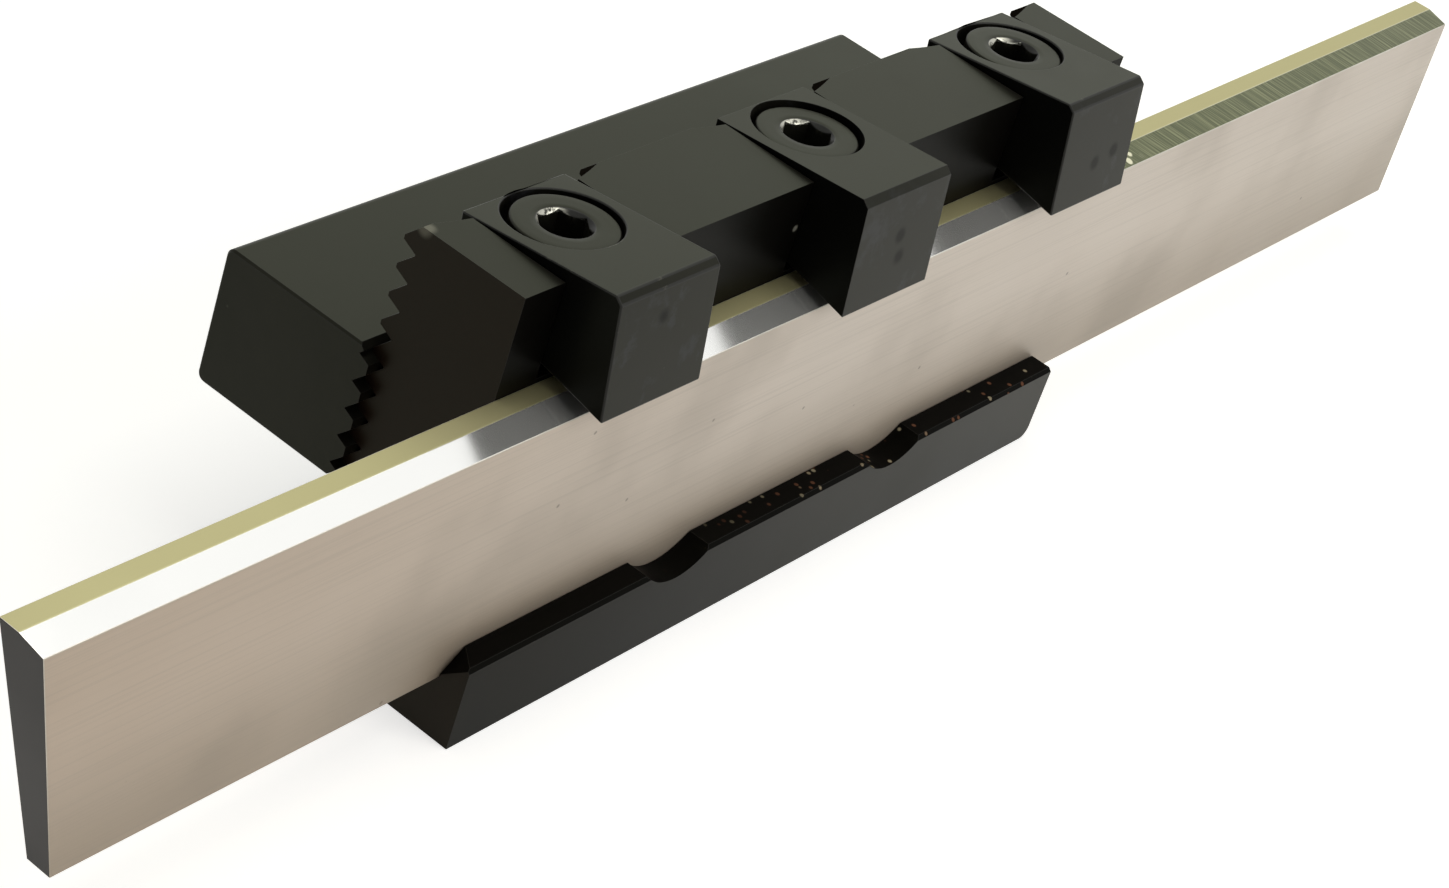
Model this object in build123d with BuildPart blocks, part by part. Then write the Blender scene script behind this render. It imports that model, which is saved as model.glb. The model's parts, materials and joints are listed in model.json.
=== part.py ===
"""Clamp-type parting blade holder for a lathe.

A plate-shaped head carries a bevelled parting blade on its front face. Three hook fingers in slots
across the head's top hold the blade down, each rocked by its own socket head screw. A rectangular
shank sits behind the head on a serrated joint, so the head can be set up or down by one tooth.

X runs along the blade, Y = 0 is the face that the blade's back lies on, with the front towards -Y,
and Z = 0 is the head's underside. Lengths are in millimetres.
"""

import os
from math import cos, radians, sin, sqrt

from build123d import *

# Blade: a nominal 1/8 x 3/4 x 6 inch parting blade.
blade_length = 152.4
blade_height = 19.05
blade_thickness = 3.175
blade_foot_thickness = 1.8
bevel_width = 1.71
bevel_drop = 0.54
blade_end_lean = 18.0
blade_shift = 7.05

# Head: plate, blade seat and lip.
head_length = 64.5
seat_floor = 4.1
lip_height = 1.9
lip_wall = 1.85
lip_clearance = 0.05
lip_corner_radius = 0.9
lip_end_cut = 1.6
dip_depth = 1.25
dip_half_width = 3.2
lip_chamfer = 0.25

# Serrated joint between head and shank.
tooth_pitch = 1.95
tooth_depth = 1.2
tooth_flank_drop = 0.55
tooth_flat = 0.08
tooth_tip_clearance = 0.15
shank_tip_clearance = 0.4
tooth_front = 7.85
first_crest_below_top = 1.34

# Shank.
shank_width = 12.25
shank_height = 9.5
shank_overhang = 0.95
shank_right_step = 3.0
shank_bottom = 12.15
shank_corner_radius = 0.6
shank_end_chamfer = 0.15
shank_front_bevel = 1.0
shank_front_clearance = 0.15

# Fingers, drawn in the closed state about the heel that they rock on.
finger_end_strip = 3.5
finger_width = 9.2
finger_length = 11.95
finger_rise = 6.65
finger_side_clearance = 0.15
finger_top_chamfer = 0.45
finger_floor_rise = 0.3
finger_belly_clearance = 0.3
finger_closed_gap = 0.03
finger_overhang = 4.4
finger_front_lean = 2.4
heel_radius = 1.2
heel_inset = 0.6
heel_gap = 0.02
finger_tilts = {"left": 6.0, "middle": 4.2, "right": 6.8}

# Relief behind each finger slot, a shallow hollow in the head's back.
relief_radius = 25.0
relief_fade = 2.7

# M4 socket head screws of the fingers.
screw_lean = 3.4
screw_back = 8.2
screw_radius = 2.0
screw_length = 12.0
screw_head_radius = 3.38
screw_head_height = 3.85
screw_socket = 3.0
screw_socket_depth = 2.2
screw_head_chamfer = 0.35
screw_point_chamfer = 0.5
screw_head_sink = 4.2
screw_head_clearance = 0.3
screw_hole_clearance = 0.25
thread_clearance = 0.05
seat_gap = 0.02
tapped_extra = 1.5

# M5 low-head screws between head and shank, in slots for the height setting.
height_screw_radius = 2.5
height_screw_length = 12.0
height_head_radius = 4.25
height_head_height = 3.5
height_socket = 4.0
height_socket_depth = 2.0
height_head_sink = 3.8
height_head_clearance = 0.25
height_hole_clearance = 0.25
height_steps = 3
height_slot_spare = 0.2

# Heights and depths that follow from the driving dimensions.
blade_top = seat_floor + blade_height
lip_top = seat_floor + lip_height
finger_floor = blade_top + finger_floor_rise
head_height = finger_floor + finger_rise
tooth_back = tooth_front + tooth_depth
tooth_phase = head_height - first_crest_below_top
heel_z = finger_floor + heel_radius + heel_gap
finger_front = -finger_overhang
heel_y = finger_front + finger_length - heel_inset
slot_half_width = finger_width / 2 + finger_side_clearance
finger_pitch = head_length / 2 - finger_end_strip - slot_half_width
shank_left = -head_length / 2 - shank_overhang
shank_length = head_length + shank_overhang - shank_right_step
shank_back = tooth_front + shank_width
shank_face_front = tooth_back + shank_front_clearance
height_screw_z = shank_bottom + shank_height / 2
finger_x = {"left": -finger_pitch, "middle": 0.0, "right": finger_pitch}
height_screw_x = {"left": -finger_pitch / 2, "right": finger_pitch / 2}


def blade_front(height):
    """Y of the blade's tapered front face at a height above its lower edge."""
    taper = (blade_thickness - blade_foot_thickness) / blade_height
    return -(blade_foot_thickness + taper * height)


def tooth(level, front_trim, back_trim):
    """Four points (y, z), going up, of the tooth whose rear tip is at this level.

    The flank below the tip is nearly square to the joint and carries the cutting load; the one above
    it is sloped. The trims cut the profile back from its front and rear limits.
    """
    near = tooth_front + front_trim
    far = tooth_back - back_trim
    lower = tooth_flank_drop / tooth_depth
    upper = (tooth_pitch - tooth_flank_drop - 2 * tooth_flat) / tooth_depth
    return [
        (near, level - lower * (tooth_back - near)),
        (far, level - lower * (tooth_back - far)),
        (far, level + tooth_flat + upper * (tooth_back - far)),
        (near, level + tooth_flat + upper * (tooth_back - near)),
    ]


def at_height(low, high, height):
    """Point (y, z) at a height on the straight line between two points."""
    share = (height - low[1]) / (high[1] - low[1])
    return (low[0] + share * (high[0] - low[0]), height)


def tooth_line(bottom, top, front_trim, back_trim):
    """The serrated line from one height up to another, with its end points exactly on them."""
    first = int((bottom - tooth_phase) // tooth_pitch) - 1
    last = int((top - tooth_phase) // tooth_pitch) + 2
    points = []
    for step in range(first, last):
        points += tooth(tooth_phase + step * tooth_pitch, front_trim, back_trim)
    below = [point for point in points if point[1] <= bottom]
    between = [point for point in points if bottom < point[1] < top]
    above = [point for point in points if point[1] >= top]
    start = at_height(below[-1], between[0], bottom)
    end = at_height(between[-1], above[0], top)
    return [start, *between, end]


def leaning_plane(x, lean, along=0.0, up=0.0):
    """Plane for side profiles through the heel, its Y axis leaning back from upright by some degrees."""
    backward = Vector(0, cos(radians(lean)), -sin(radians(lean)))
    upward = Vector(0, sin(radians(lean)), cos(radians(lean)))
    origin = Vector(x, heel_y, heel_z) + backward * along + upward * up
    return Plane(origin=origin, x_dir=backward, z_dir=(1, 0, 0))


def screw_plane(x, height):
    """Plane square to a finger screw's axis, at a height above the heel measured along that axis."""
    side = leaning_plane(x, screw_lean, along=screw_along, up=height)
    return Plane(origin=side.origin, x_dir=(1, 0, 0), z_dir=side.y_dir)


# The finger's own frame has its origin on the heel's axis.
finger_top = head_height - heel_z
finger_nose = finger_front - heel_y
finger_belly = finger_belly_clearance - heel_radius - heel_gap
screw_along = finger_nose + screw_back
screw_floor = finger_top - screw_head_sink


def screw_seat(tilt):
    """Height along the screw where its head meets the floor of the tilted finger's counterbore."""
    swing = radians(tilt - screw_lean)
    rise = screw_floor * cos(swing) - screw_along * sin(swing)
    return rise + screw_head_radius * abs(sin(swing)) + seat_gap


# Head: one milled plate with the blade seat, the lip, the finger slots and the serrated back.
with BuildPart() as head:
    with BuildSketch(Plane.YZ):
        with BuildLine():
            inner_floor = blade_front(0) - lip_clearance
            inner_top = blade_front(lip_height) - lip_clearance
            lip_front = inner_top - lip_wall
            back = tooth_line(0, head_height, 0, tooth_tip_clearance)
            Polyline(
                *back,
                (0, head_height),
                (0, seat_floor),
                (inner_floor, seat_floor),
                (inner_top, lip_top),
                (lip_front, lip_top),
                (lip_front, 0),
                close=True,
            )
        make_face()
    extrude(amount=head_length / 2, both=True)

    # Round-bottomed dips in the lip, midway between the fingers.
    dip_radius = (dip_half_width**2 + dip_depth**2) / (2 * dip_depth)
    with BuildSketch(Plane.XZ):
        with Locations((0, lip_top - dip_depth + dip_radius)):
            with GridLocations(finger_pitch, 1, 2, 1):
                Circle(dip_radius)
        with Locations((0, lip_top + dip_radius)):
            Rectangle(2 * head_length, 2 * (dip_radius + dip_depth), mode=Mode.INTERSECT)
    extrude(amount=-2 * lip_front, mode=Mode.SUBTRACT)

    # The lip's inner corner at the left end is cut off at a slant, so that a blade finds the groove.
    cut_depth_y = blade_front(lip_height - lip_end_cut) - lip_clearance
    cut_corners = [
        Vector(-head_length / 2 + lip_end_cut, inner_top, lip_top),
        Vector(-head_length / 2, cut_depth_y, lip_top - lip_end_cut),
        Vector(-head_length / 2, lip_front, lip_top),
    ]
    cut_across = cut_corners[1] - cut_corners[0]
    cut_normal = cut_across.cross(cut_corners[2] - cut_corners[0])
    cut_plane = Plane(origin=cut_corners[0], x_dir=cut_across, z_dir=cut_normal)
    with BuildSketch(cut_plane):
        with BuildLine():
            Polyline(*[cut_plane.to_local_coords(corner) for corner in cut_corners], close=True)
        make_face()
    extrude(amount=lip_end_cut, mode=Mode.SUBTRACT)

    # Slots for the fingers, right through from front to back.
    with BuildSketch(Plane.XZ):
        with Locations((0, (finger_floor + head_height) / 2 + 1)):
            with GridLocations(finger_pitch, 1, 3, 1):
                Rectangle(2 * slot_half_width, head_height - finger_floor + 2)
    extrude(amount=2 * tooth_back, both=True, mode=Mode.SUBTRACT)

    # Shallow hollows where the slots leave the back: round, and run out a little beside each slot.
    top_edge = head.faces().sort_by(Axis.Z)[-1].bounding_box().max.Y
    hollow_half = slot_half_width + relief_fade
    hollow_centre = top_edge + sqrt(relief_radius**2 - hollow_half**2)
    with BuildSketch(Plane.XY.offset(finger_floor)):
        with Locations((0, hollow_centre)):
            with GridLocations(finger_pitch, 1, 3, 1):
                Circle(relief_radius)
        with GridLocations(finger_pitch, 1, 3, 1):
            Rectangle(2 * hollow_half, 2 * tooth_back, mode=Mode.INTERSECT)
    extrude(amount=head_height, mode=Mode.SUBTRACT)

    # Tapped holes for the finger screws, leaning with them.
    deepest = screw_seat(screw_lean)
    with Locations(*[screw_plane(x, deepest) for x in finger_x.values()]):
        Hole(radius=screw_radius + thread_clearance, depth=screw_length + tapped_extra)

    # Sunk slots for the screws into the shank, long enough for the height steps.
    slot_run = height_steps * tooth_pitch + 2 * height_slot_spare
    slot_centre = height_screw_z + height_slot_spare - slot_run / 2
    with BuildSketch(Plane.XZ):
        with Locations((0, slot_centre)):
            with GridLocations(finger_pitch, 1, 2, 1):
                SlotCenterToCenter(slot_run, 2 * (height_head_radius + height_head_clearance), rotation=90)
    extrude(amount=-height_head_sink, mode=Mode.SUBTRACT)
    with BuildSketch(Plane.XZ):
        with Locations((0, slot_centre)):
            with GridLocations(finger_pitch, 1, 2, 1):
                SlotCenterToCenter(slot_run, 2 * (height_screw_radius + height_hole_clearance), rotation=90)
    extrude(amount=-2 * tooth_back, mode=Mode.SUBTRACT)

    # The lower corner at the right end is rounded.
    corner_start = head_length / 2 - lip_corner_radius
    corner_middle = lip_corner_radius * sqrt(0.5)
    with BuildSketch(Plane.XZ):
        with BuildLine():
            ThreePointArc(
                (corner_start, 0),
                (corner_start + corner_middle, lip_corner_radius - corner_middle),
                (head_length / 2, lip_corner_radius),
            )
            Polyline(
                (head_length / 2, lip_corner_radius),
                (head_length / 2 + 1, lip_corner_radius),
                (head_length / 2 + 1, -1),
                (corner_start, -1),
                (corner_start, 0),
            )
        make_face()
    extrude(amount=2 * tooth_back, both=True, mode=Mode.SUBTRACT)
    lip_front_edges = head.edges().filter_by(Axis.X).group_by(Axis.Y)[0]
    chamfer(lip_front_edges.group_by(Axis.Z)[-1], length=lip_chamfer)
head.part.label = "head"

# Shank: a bar with the mating serration along its front.
with BuildPart() as shank:
    with BuildSketch(Plane.YZ.offset(shank_left)):
        with BuildLine():
            front = tooth_line(shank_bottom, shank_bottom + shank_height, shank_tip_clearance, 0)
            Polyline((shank_back + 1, front[0][1]), *front, (shank_back + 1, front[-1][1]), close=True)
        make_face()
        # The bar's outline: its long front edges are bevelled clear of the head's teeth.
        shank_top = shank_bottom + shank_height
        bevel_front = shank_face_front - shank_front_bevel
        with BuildLine():
            Polyline(
                (shank_back, shank_bottom),
                (shank_back, shank_top),
                (shank_face_front, shank_top),
                (bevel_front, shank_top - shank_front_bevel),
                (tooth_front, shank_top - shank_front_bevel),
                (tooth_front, shank_bottom + shank_front_bevel),
                (bevel_front, shank_bottom + shank_front_bevel),
                (shank_face_front, shank_bottom),
                close=True,
            )
        make_face(mode=Mode.INTERSECT)
    extrude(amount=shank_length)
    fillet(shank.edges().filter_by(Axis.X).group_by(Axis.Y)[-1], radius=shank_corner_radius)
    for end in (shank.faces().sort_by(Axis.X)[0], shank.faces().sort_by(Axis.X)[-1]):
        rear = end.edges().filter_by(lambda edge: edge.center().Y > tooth_back + tooth_depth)
        chamfer(rear, length=shank_end_chamfer)
    with Locations(
        *[Plane(origin=(x, 0, height_screw_z), x_dir=(1, 0, 0), z_dir=(0, -1, 0)) for x in height_screw_x.values()]
    ):
        Hole(
            radius=height_screw_radius + seat_gap,
            depth=height_head_sink + height_screw_length + tapped_extra / 2,
        )
shank.part.label = "shank"

# Blade: bevelled along the top of its front face, thinner at the foot, with leaning ends.
with BuildPart() as blade:
    with BuildSketch(Plane.YZ):
        with BuildLine():
            bevel_foot = blade_height - bevel_drop
            Polyline(
                (0, seat_floor),
                (blade_front(0), seat_floor),
                (blade_front(bevel_foot), seat_floor + bevel_foot),
                (blade_front(bevel_foot) + bevel_width, blade_top),
                (0, blade_top),
                close=True,
            )
        make_face()
    extrude(amount=blade_length, both=True)
    with BuildSketch(Plane.XZ):
        with BuildLine():
            left_end = blade_shift - blade_length / 2
            right_end = blade_shift + blade_length / 2
            lean_run = blade_height * sin(radians(blade_end_lean)) / cos(radians(blade_end_lean))
            Polyline(
                (left_end, blade_top),
                (right_end, blade_top),
                (right_end + lean_run, seat_floor),
                (left_end + lean_run, seat_floor),
                close=True,
            )
        make_face()
    extrude(amount=2 * blade_thickness, both=True, mode=Mode.INTERSECT)
blade.part.label = "parting_blade"


def make_finger(side):
    """One hook finger, standing at the tilt that its slack screw leaves it."""
    with BuildPart() as finger:
        with BuildSketch(leaning_plane(finger_x[side], finger_tilts[side])):
            with BuildLine():
                # The hook's underside runs parallel to the blade's bevel and just clears it when closed.
                slope = bevel_drop / bevel_width
                bevel_y = blade_front(blade_height - bevel_drop) - heel_y
                bevel_z = blade_top - bevel_drop - heel_z + finger_closed_gap
                face_run = sin(radians(finger_front_lean)) * (finger_top - bevel_z)
                tip_y = finger_nose - face_run
                tip_z = bevel_z + slope * (tip_y - bevel_y)
                belly_y = bevel_y + (finger_belly - bevel_z) / slope
                heel_half = sqrt(heel_radius**2 - finger_belly**2)
                heel_end = -sqrt(heel_radius**2 - heel_inset**2)
                Polyline(
                    (heel_inset, heel_end),
                    (heel_inset, finger_top),
                    (finger_nose, finger_top),
                    (tip_y, tip_z),
                    (belly_y, finger_belly),
                    (-heel_half, finger_belly),
                )
                ThreePointArc((-heel_half, finger_belly), (0, -heel_radius), (heel_inset, heel_end))
            make_face()
        extrude(amount=finger_width / 2, both=True)
        nose_edge = finger.edges().filter_by(Axis.X).group_by(Axis.Z)[-1]
        chamfer(nose_edge, length=finger_top_chamfer)
        side_plane = leaning_plane(finger_x[side], finger_tilts[side], along=screw_along, up=finger_top)
        with Locations(Plane(origin=side_plane.origin, x_dir=(1, 0, 0), z_dir=side_plane.y_dir)):
            CounterBoreHole(
                radius=screw_radius + screw_hole_clearance,
                counter_bore_radius=screw_head_radius + screw_head_clearance,
                counter_bore_depth=screw_head_sink,
                depth=2 * finger_top,
            )
    finger.part.label = f"clamp_{side}"
    return finger.part


def make_socket_screw(plane, radius, length, head_radius, head_height, socket, socket_depth):
    """A socket head screw whose head's underside lies on the plane, with its socket above."""
    with BuildPart() as screw:
        with BuildSketch(plane):
            Circle(head_radius)
        extrude(amount=head_height)
        top = screw.faces().sort_by(Axis(plane.origin, plane.z_dir))[-1]
        chamfer(top.edges(), length=screw_head_chamfer)
        with BuildSketch(plane.offset(-length)):
            Circle(radius)
        extrude(amount=length)
        point = screw.faces().sort_by(Axis(plane.origin, plane.z_dir))[0]
        chamfer(point.edges(), length=screw_point_chamfer)
        with BuildSketch(plane.offset(head_height - socket_depth)):
            RegularPolygon(radius=socket / 2, side_count=6, major_radius=False)
        extrude(amount=socket_depth, mode=Mode.SUBTRACT)
    return screw.part


pieces = [head.part, shank.part, blade.part]

for side, x in finger_x.items():
    pieces.append(make_finger(side))
    clamp_screw = make_socket_screw(
        screw_plane(x, screw_seat(finger_tilts[side])),
        screw_radius,
        screw_length,
        screw_head_radius,
        screw_head_height,
        screw_socket,
        screw_socket_depth,
    )
    clamp_screw.label = f"clamp_screw_{side}"
    pieces.append(clamp_screw)

for side, x in height_screw_x.items():
    height_screw = make_socket_screw(
        Plane(origin=(x, height_head_sink, height_screw_z), x_dir=(1, 0, 0), z_dir=(0, -1, 0)),
        height_screw_radius,
        height_screw_length,
        height_head_radius,
        height_head_height,
        height_socket,
        height_socket_depth,
    )
    height_screw.label = f"height_screw_{side}"
    pieces.append(height_screw)

os.makedirs("parts", exist_ok=True)
for piece in pieces:
    export_step(piece, f"parts/{piece.label}.step")
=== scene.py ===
"""Looks of the clamp-type parting blade holder.

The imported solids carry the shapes. This script eases their edges, puts real threads, knurls and
hex sockets on the screws, gives each piece its blackened or ground steel, and sets up a pale studio
with the camera where the photograph's was. Lengths are in metres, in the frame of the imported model,
unless a name ends in _mm.
"""

import json
import logging
import math
from dataclasses import dataclass
from enum import Enum

import bmesh
import bpy
import numpy as np
from mathutils import Matrix, Vector


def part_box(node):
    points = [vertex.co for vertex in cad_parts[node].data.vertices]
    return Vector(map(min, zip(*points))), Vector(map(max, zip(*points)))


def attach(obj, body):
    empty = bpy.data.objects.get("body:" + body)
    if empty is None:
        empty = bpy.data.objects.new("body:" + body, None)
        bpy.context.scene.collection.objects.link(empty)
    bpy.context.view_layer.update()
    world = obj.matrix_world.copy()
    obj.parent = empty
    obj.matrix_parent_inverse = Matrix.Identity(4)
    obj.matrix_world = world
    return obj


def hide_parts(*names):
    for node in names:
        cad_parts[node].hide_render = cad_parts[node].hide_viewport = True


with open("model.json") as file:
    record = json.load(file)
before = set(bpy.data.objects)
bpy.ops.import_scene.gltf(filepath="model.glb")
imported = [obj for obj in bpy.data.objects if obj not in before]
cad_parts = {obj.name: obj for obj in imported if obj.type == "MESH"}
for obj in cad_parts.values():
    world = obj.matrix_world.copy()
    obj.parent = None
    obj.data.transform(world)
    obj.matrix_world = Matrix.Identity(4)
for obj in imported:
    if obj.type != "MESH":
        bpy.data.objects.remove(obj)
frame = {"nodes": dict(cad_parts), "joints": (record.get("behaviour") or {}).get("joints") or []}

MM = 0.001
PHOTO_SIZE = (1449, 888)
LOG = logging.getLogger("parting_blade_holder")

Tree = bpy.types.NodeTree
NodeSocket = bpy.types.NodeSocket
Material = bpy.types.Material
Piece = bpy.types.Object
Inputs = dict[str | int, object]
Point = tuple[float, float, float]
# Two values of a measure: the one at which a mask is 0, and the one at which it is 1.
Fade = tuple[float, float]
# One row of a turned surface: its radius, which may change round the axis, and its height.
Row = tuple[np.ndarray | float, float]


class Station(Enum):
    """The three finger stations along the head, left to right as the photograph shows them."""

    LEFT = "left"
    MIDDLE = "middle"
    RIGHT = "right"


class Drive(Enum):
    """How a screw's place and direction are found."""

    FINGER = "finger"
    HEIGHT = "height"


def linear_colour(code: str) -> tuple[float, float, float, float]:
    """Turn an sRGB hex colour into linear light.

    Below the knee a part is divided by the slope, above it the shifted part is raised to the power
    2.4, as the sRGB standard says.

    Args:
        code: The colour as "#RRGGBB".

    Returns:
        Red, green, blue and an alpha of 1.
    """
    parts = [int(code[i : i + 2], 16) / 255 for i in (1, 3, 5)]
    light = [p / 12.92 if p <= 0.04045 else ((p + 0.055) / 1.055) ** 2.4 for p in parts]
    return (light[0], light[1], light[2], 1.0)


def add_node(
    tree: Tree,
    kind: str,
    settings: dict[str, object] | None = None,
    inputs: Inputs | None = None,
) -> bpy.types.Node:
    """Add one shader node, set its options, and fill or link its sockets.

    Args:
        tree: The node tree to add to.
        kind: The node's type, without the ShaderNode prefix.
        settings: Options of the node by name.
        inputs: Socket name or number, with a value or with the output socket that feeds it.

    Returns:
        The new node.
    """
    node = tree.nodes.new("ShaderNode" + kind)
    for key, value in (settings or {}).items():
        setattr(node, key, value)
    for key, value in (inputs or {}).items():
        socket = node.inputs[key]
        if isinstance(value, NodeSocket):
            tree.links.new(value, socket)
        else:
            socket.default_value = value
    return node


def blank_material(name: str) -> tuple[Material, Tree, NodeSocket]:
    """Make a material whose node tree holds nothing but the coordinates.

    Args:
        name: The material's name.

    Returns:
        The material, its node tree and the Object coordinates.
    """
    material = bpy.data.materials.new(name)
    material.use_nodes = True
    tree = material.node_tree
    tree.nodes.clear()
    return material, tree, add_node(tree, "TexCoord").outputs["Object"]


def close_surface(tree: Tree, inputs: Inputs) -> None:
    """End a material's tree with one Principled shader, fed by these inputs, and the output."""
    shader = add_node(tree, "BsdfPrincipled", inputs=inputs)
    add_node(tree, "OutputMaterial", inputs={"Surface": shader.outputs["BSDF"]})


def limits(tree: Tree, value: NodeSocket, fade: Fade) -> NodeSocket:
    """Fade a value from 0 at one limit to 1 at the other, clamped and smooth.

    Args:
        tree: The node tree.
        value: The socket that carries the value.
        fade: The value that gives 0 and the one that gives 1, which may be the smaller of the two.

    Returns:
        The socket with the faded value.
    """
    smooth = {"interpolation_type": "SMOOTHSTEP", "clamp": True}
    inputs = {"Value": value, "From Min": fade[0], "From Max": fade[1]}
    return add_node(tree, "MapRange", smooth, inputs).outputs["Result"]


def rescale(tree: Tree, value: NodeSocket, source: Fade, target: Fade) -> NodeSocket:
    """Carry a value in proportion from one range over to another, clamped at its ends."""
    ends = zip(("From Min", "From Max", "To Min", "To Max"), (*source, *target))
    return add_node(tree, "MapRange", inputs={"Value": value, **dict(ends)}).outputs["Result"]


def combine(tree: Tree, how: str, *values: object) -> NodeSocket:
    """Combine two or more numbers, one after the other.

    Args:
        tree: The node tree.
        how: The Math node's operation.
        values: Numbers or sockets.

    Returns:
        The socket with the result.
    """
    result = values[0]
    for value in values[1:]:
        result = add_node(tree, "Math", {"operation": how}, {0: result, 1: value}).outputs[0]
    return result


def times(tree: Tree, *values: object) -> NodeSocket:
    """Multiply two or more numbers or sockets."""
    return combine(tree, "MULTIPLY", *values)


def tint(tree: Tree, under: object, *layers: tuple[object, object]) -> NodeSocket:
    """Lay colours over one another in turn.

    Args:
        tree: The node tree.
        under: The lowest colour, as a hex code or a socket.
        layers: For each further colour its share, a number or a socket, and its hex code or
            socket.

    Returns:
        The socket with the mixed colour.
    """
    for share, over in layers:
        colours = [linear_colour(c) if isinstance(c, str) else c for c in (under, over)]
        # A Mix node has sockets for each kind of data: 0 is the share, 6 and 7 the two colours.
        inputs = {0: share, 6: colours[0], 7: colours[1]}
        under = add_node(tree, "Mix", {"data_type": "RGBA"}, inputs).outputs[2]
    return under


def noise(
    tree: Tree, place: NodeSocket, size_mm: float, detail: float, roughness: float = 0.5
) -> NodeSocket:
    """Spread clouds of one size over the piece, which detail and roughness break up finer."""
    clouds = {"Scale": 1.0 / (size_mm * MM), "Detail": detail, "Roughness": roughness}
    return add_node(tree, "TexNoise", inputs={"Vector": place, **clouds}).outputs["Fac"]


def bump(tree: Tree, height: NodeSocket, strength: float, depth_mm: float) -> NodeSocket:
    """Give the normal of a surface that a pattern raises and sinks by a depth in millimetres."""
    inputs = {"Strength": strength, "Distance": depth_mm * MM, "Height": height}
    return add_node(tree, "Bump", inputs=inputs).outputs["Normal"]


def beyond(tree: Tree, place: NodeSocket, axis: str, fade_mm: Fade) -> NodeSocket:
    """Find the points on one side of a plane across the X, Y or Z axis, with a soft limit."""
    where = add_node(tree, "SeparateXYZ", inputs={"Vector": place}).outputs[axis]
    return limits(tree, where, (fade_mm[0] * MM, fade_mm[1] * MM))


def facing(tree: Tree, axis: str, share: Fade) -> NodeSocket:
    """Find the surfaces that look along the piece's X, Y or Z axis, by the normal's share of it."""
    normal = add_node(tree, "TexCoord").outputs["Normal"]
    parts = add_node(tree, "SeparateXYZ", inputs={"Vector": normal})
    return limits(tree, parts.outputs[axis], share)


@dataclass(frozen=True)
class Spots:
    """Soft round spots at stated places, full within a share of their reach."""

    centres_mm: tuple[Point, ...]
    reach_mm: float
    full_share: float = 0.35

    def masks(self, tree: Tree, place: NodeSocket) -> list[NodeSocket]:
        """Find the points near each place, by their distance from it.

        Args:
            tree: The node tree.
            place: The Object coordinates.

        Returns:
            A socket from 0 to 1 for each spot.
        """
        reach = self.reach_mm * MM
        found = []
        for centre_mm in self.centres_mm:
            centre = tuple(part * MM for part in centre_mm)
            away = add_node(tree, "VectorMath", {"operation": "DISTANCE"}, {0: place, 1: centre})
            found.append(limits(tree, away.outputs["Value"], (reach, self.full_share * reach)))
        return found


@dataclass(frozen=True)
class Dots:
    """Dots strewn at random, one to a cell, of which some are drawn.

    The size is the distance from a dot's middle, in cells, at which it starts and at which it is
    full. The chance is the range of the dot's random number over which it comes up.
    """

    cell_mm: float
    size: Fade
    chance: Fade
    channel: str = "Red"

    def mask(self, tree: Tree, place: NodeSocket) -> NodeSocket:
        """Find the points on the dots that are drawn: nearness times luck.

        Args:
            tree: The node tree.
            place: The Object coordinates.

        Returns:
            A socket from 0 to 1.
        """
        inputs = {"Vector": place, "Scale": 1.0 / (self.cell_mm * MM), "Randomness": 1.0}
        cells = add_node(tree, "TexVoronoi", {"feature": "F1"}, inputs)
        lot = add_node(tree, "SeparateColor", inputs={"Color": cells.outputs["Color"]})
        near = limits(tree, cells.outputs["Distance"], self.size)
        return times(tree, near, limits(tree, lot.outputs[self.channel], self.chance))


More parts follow.
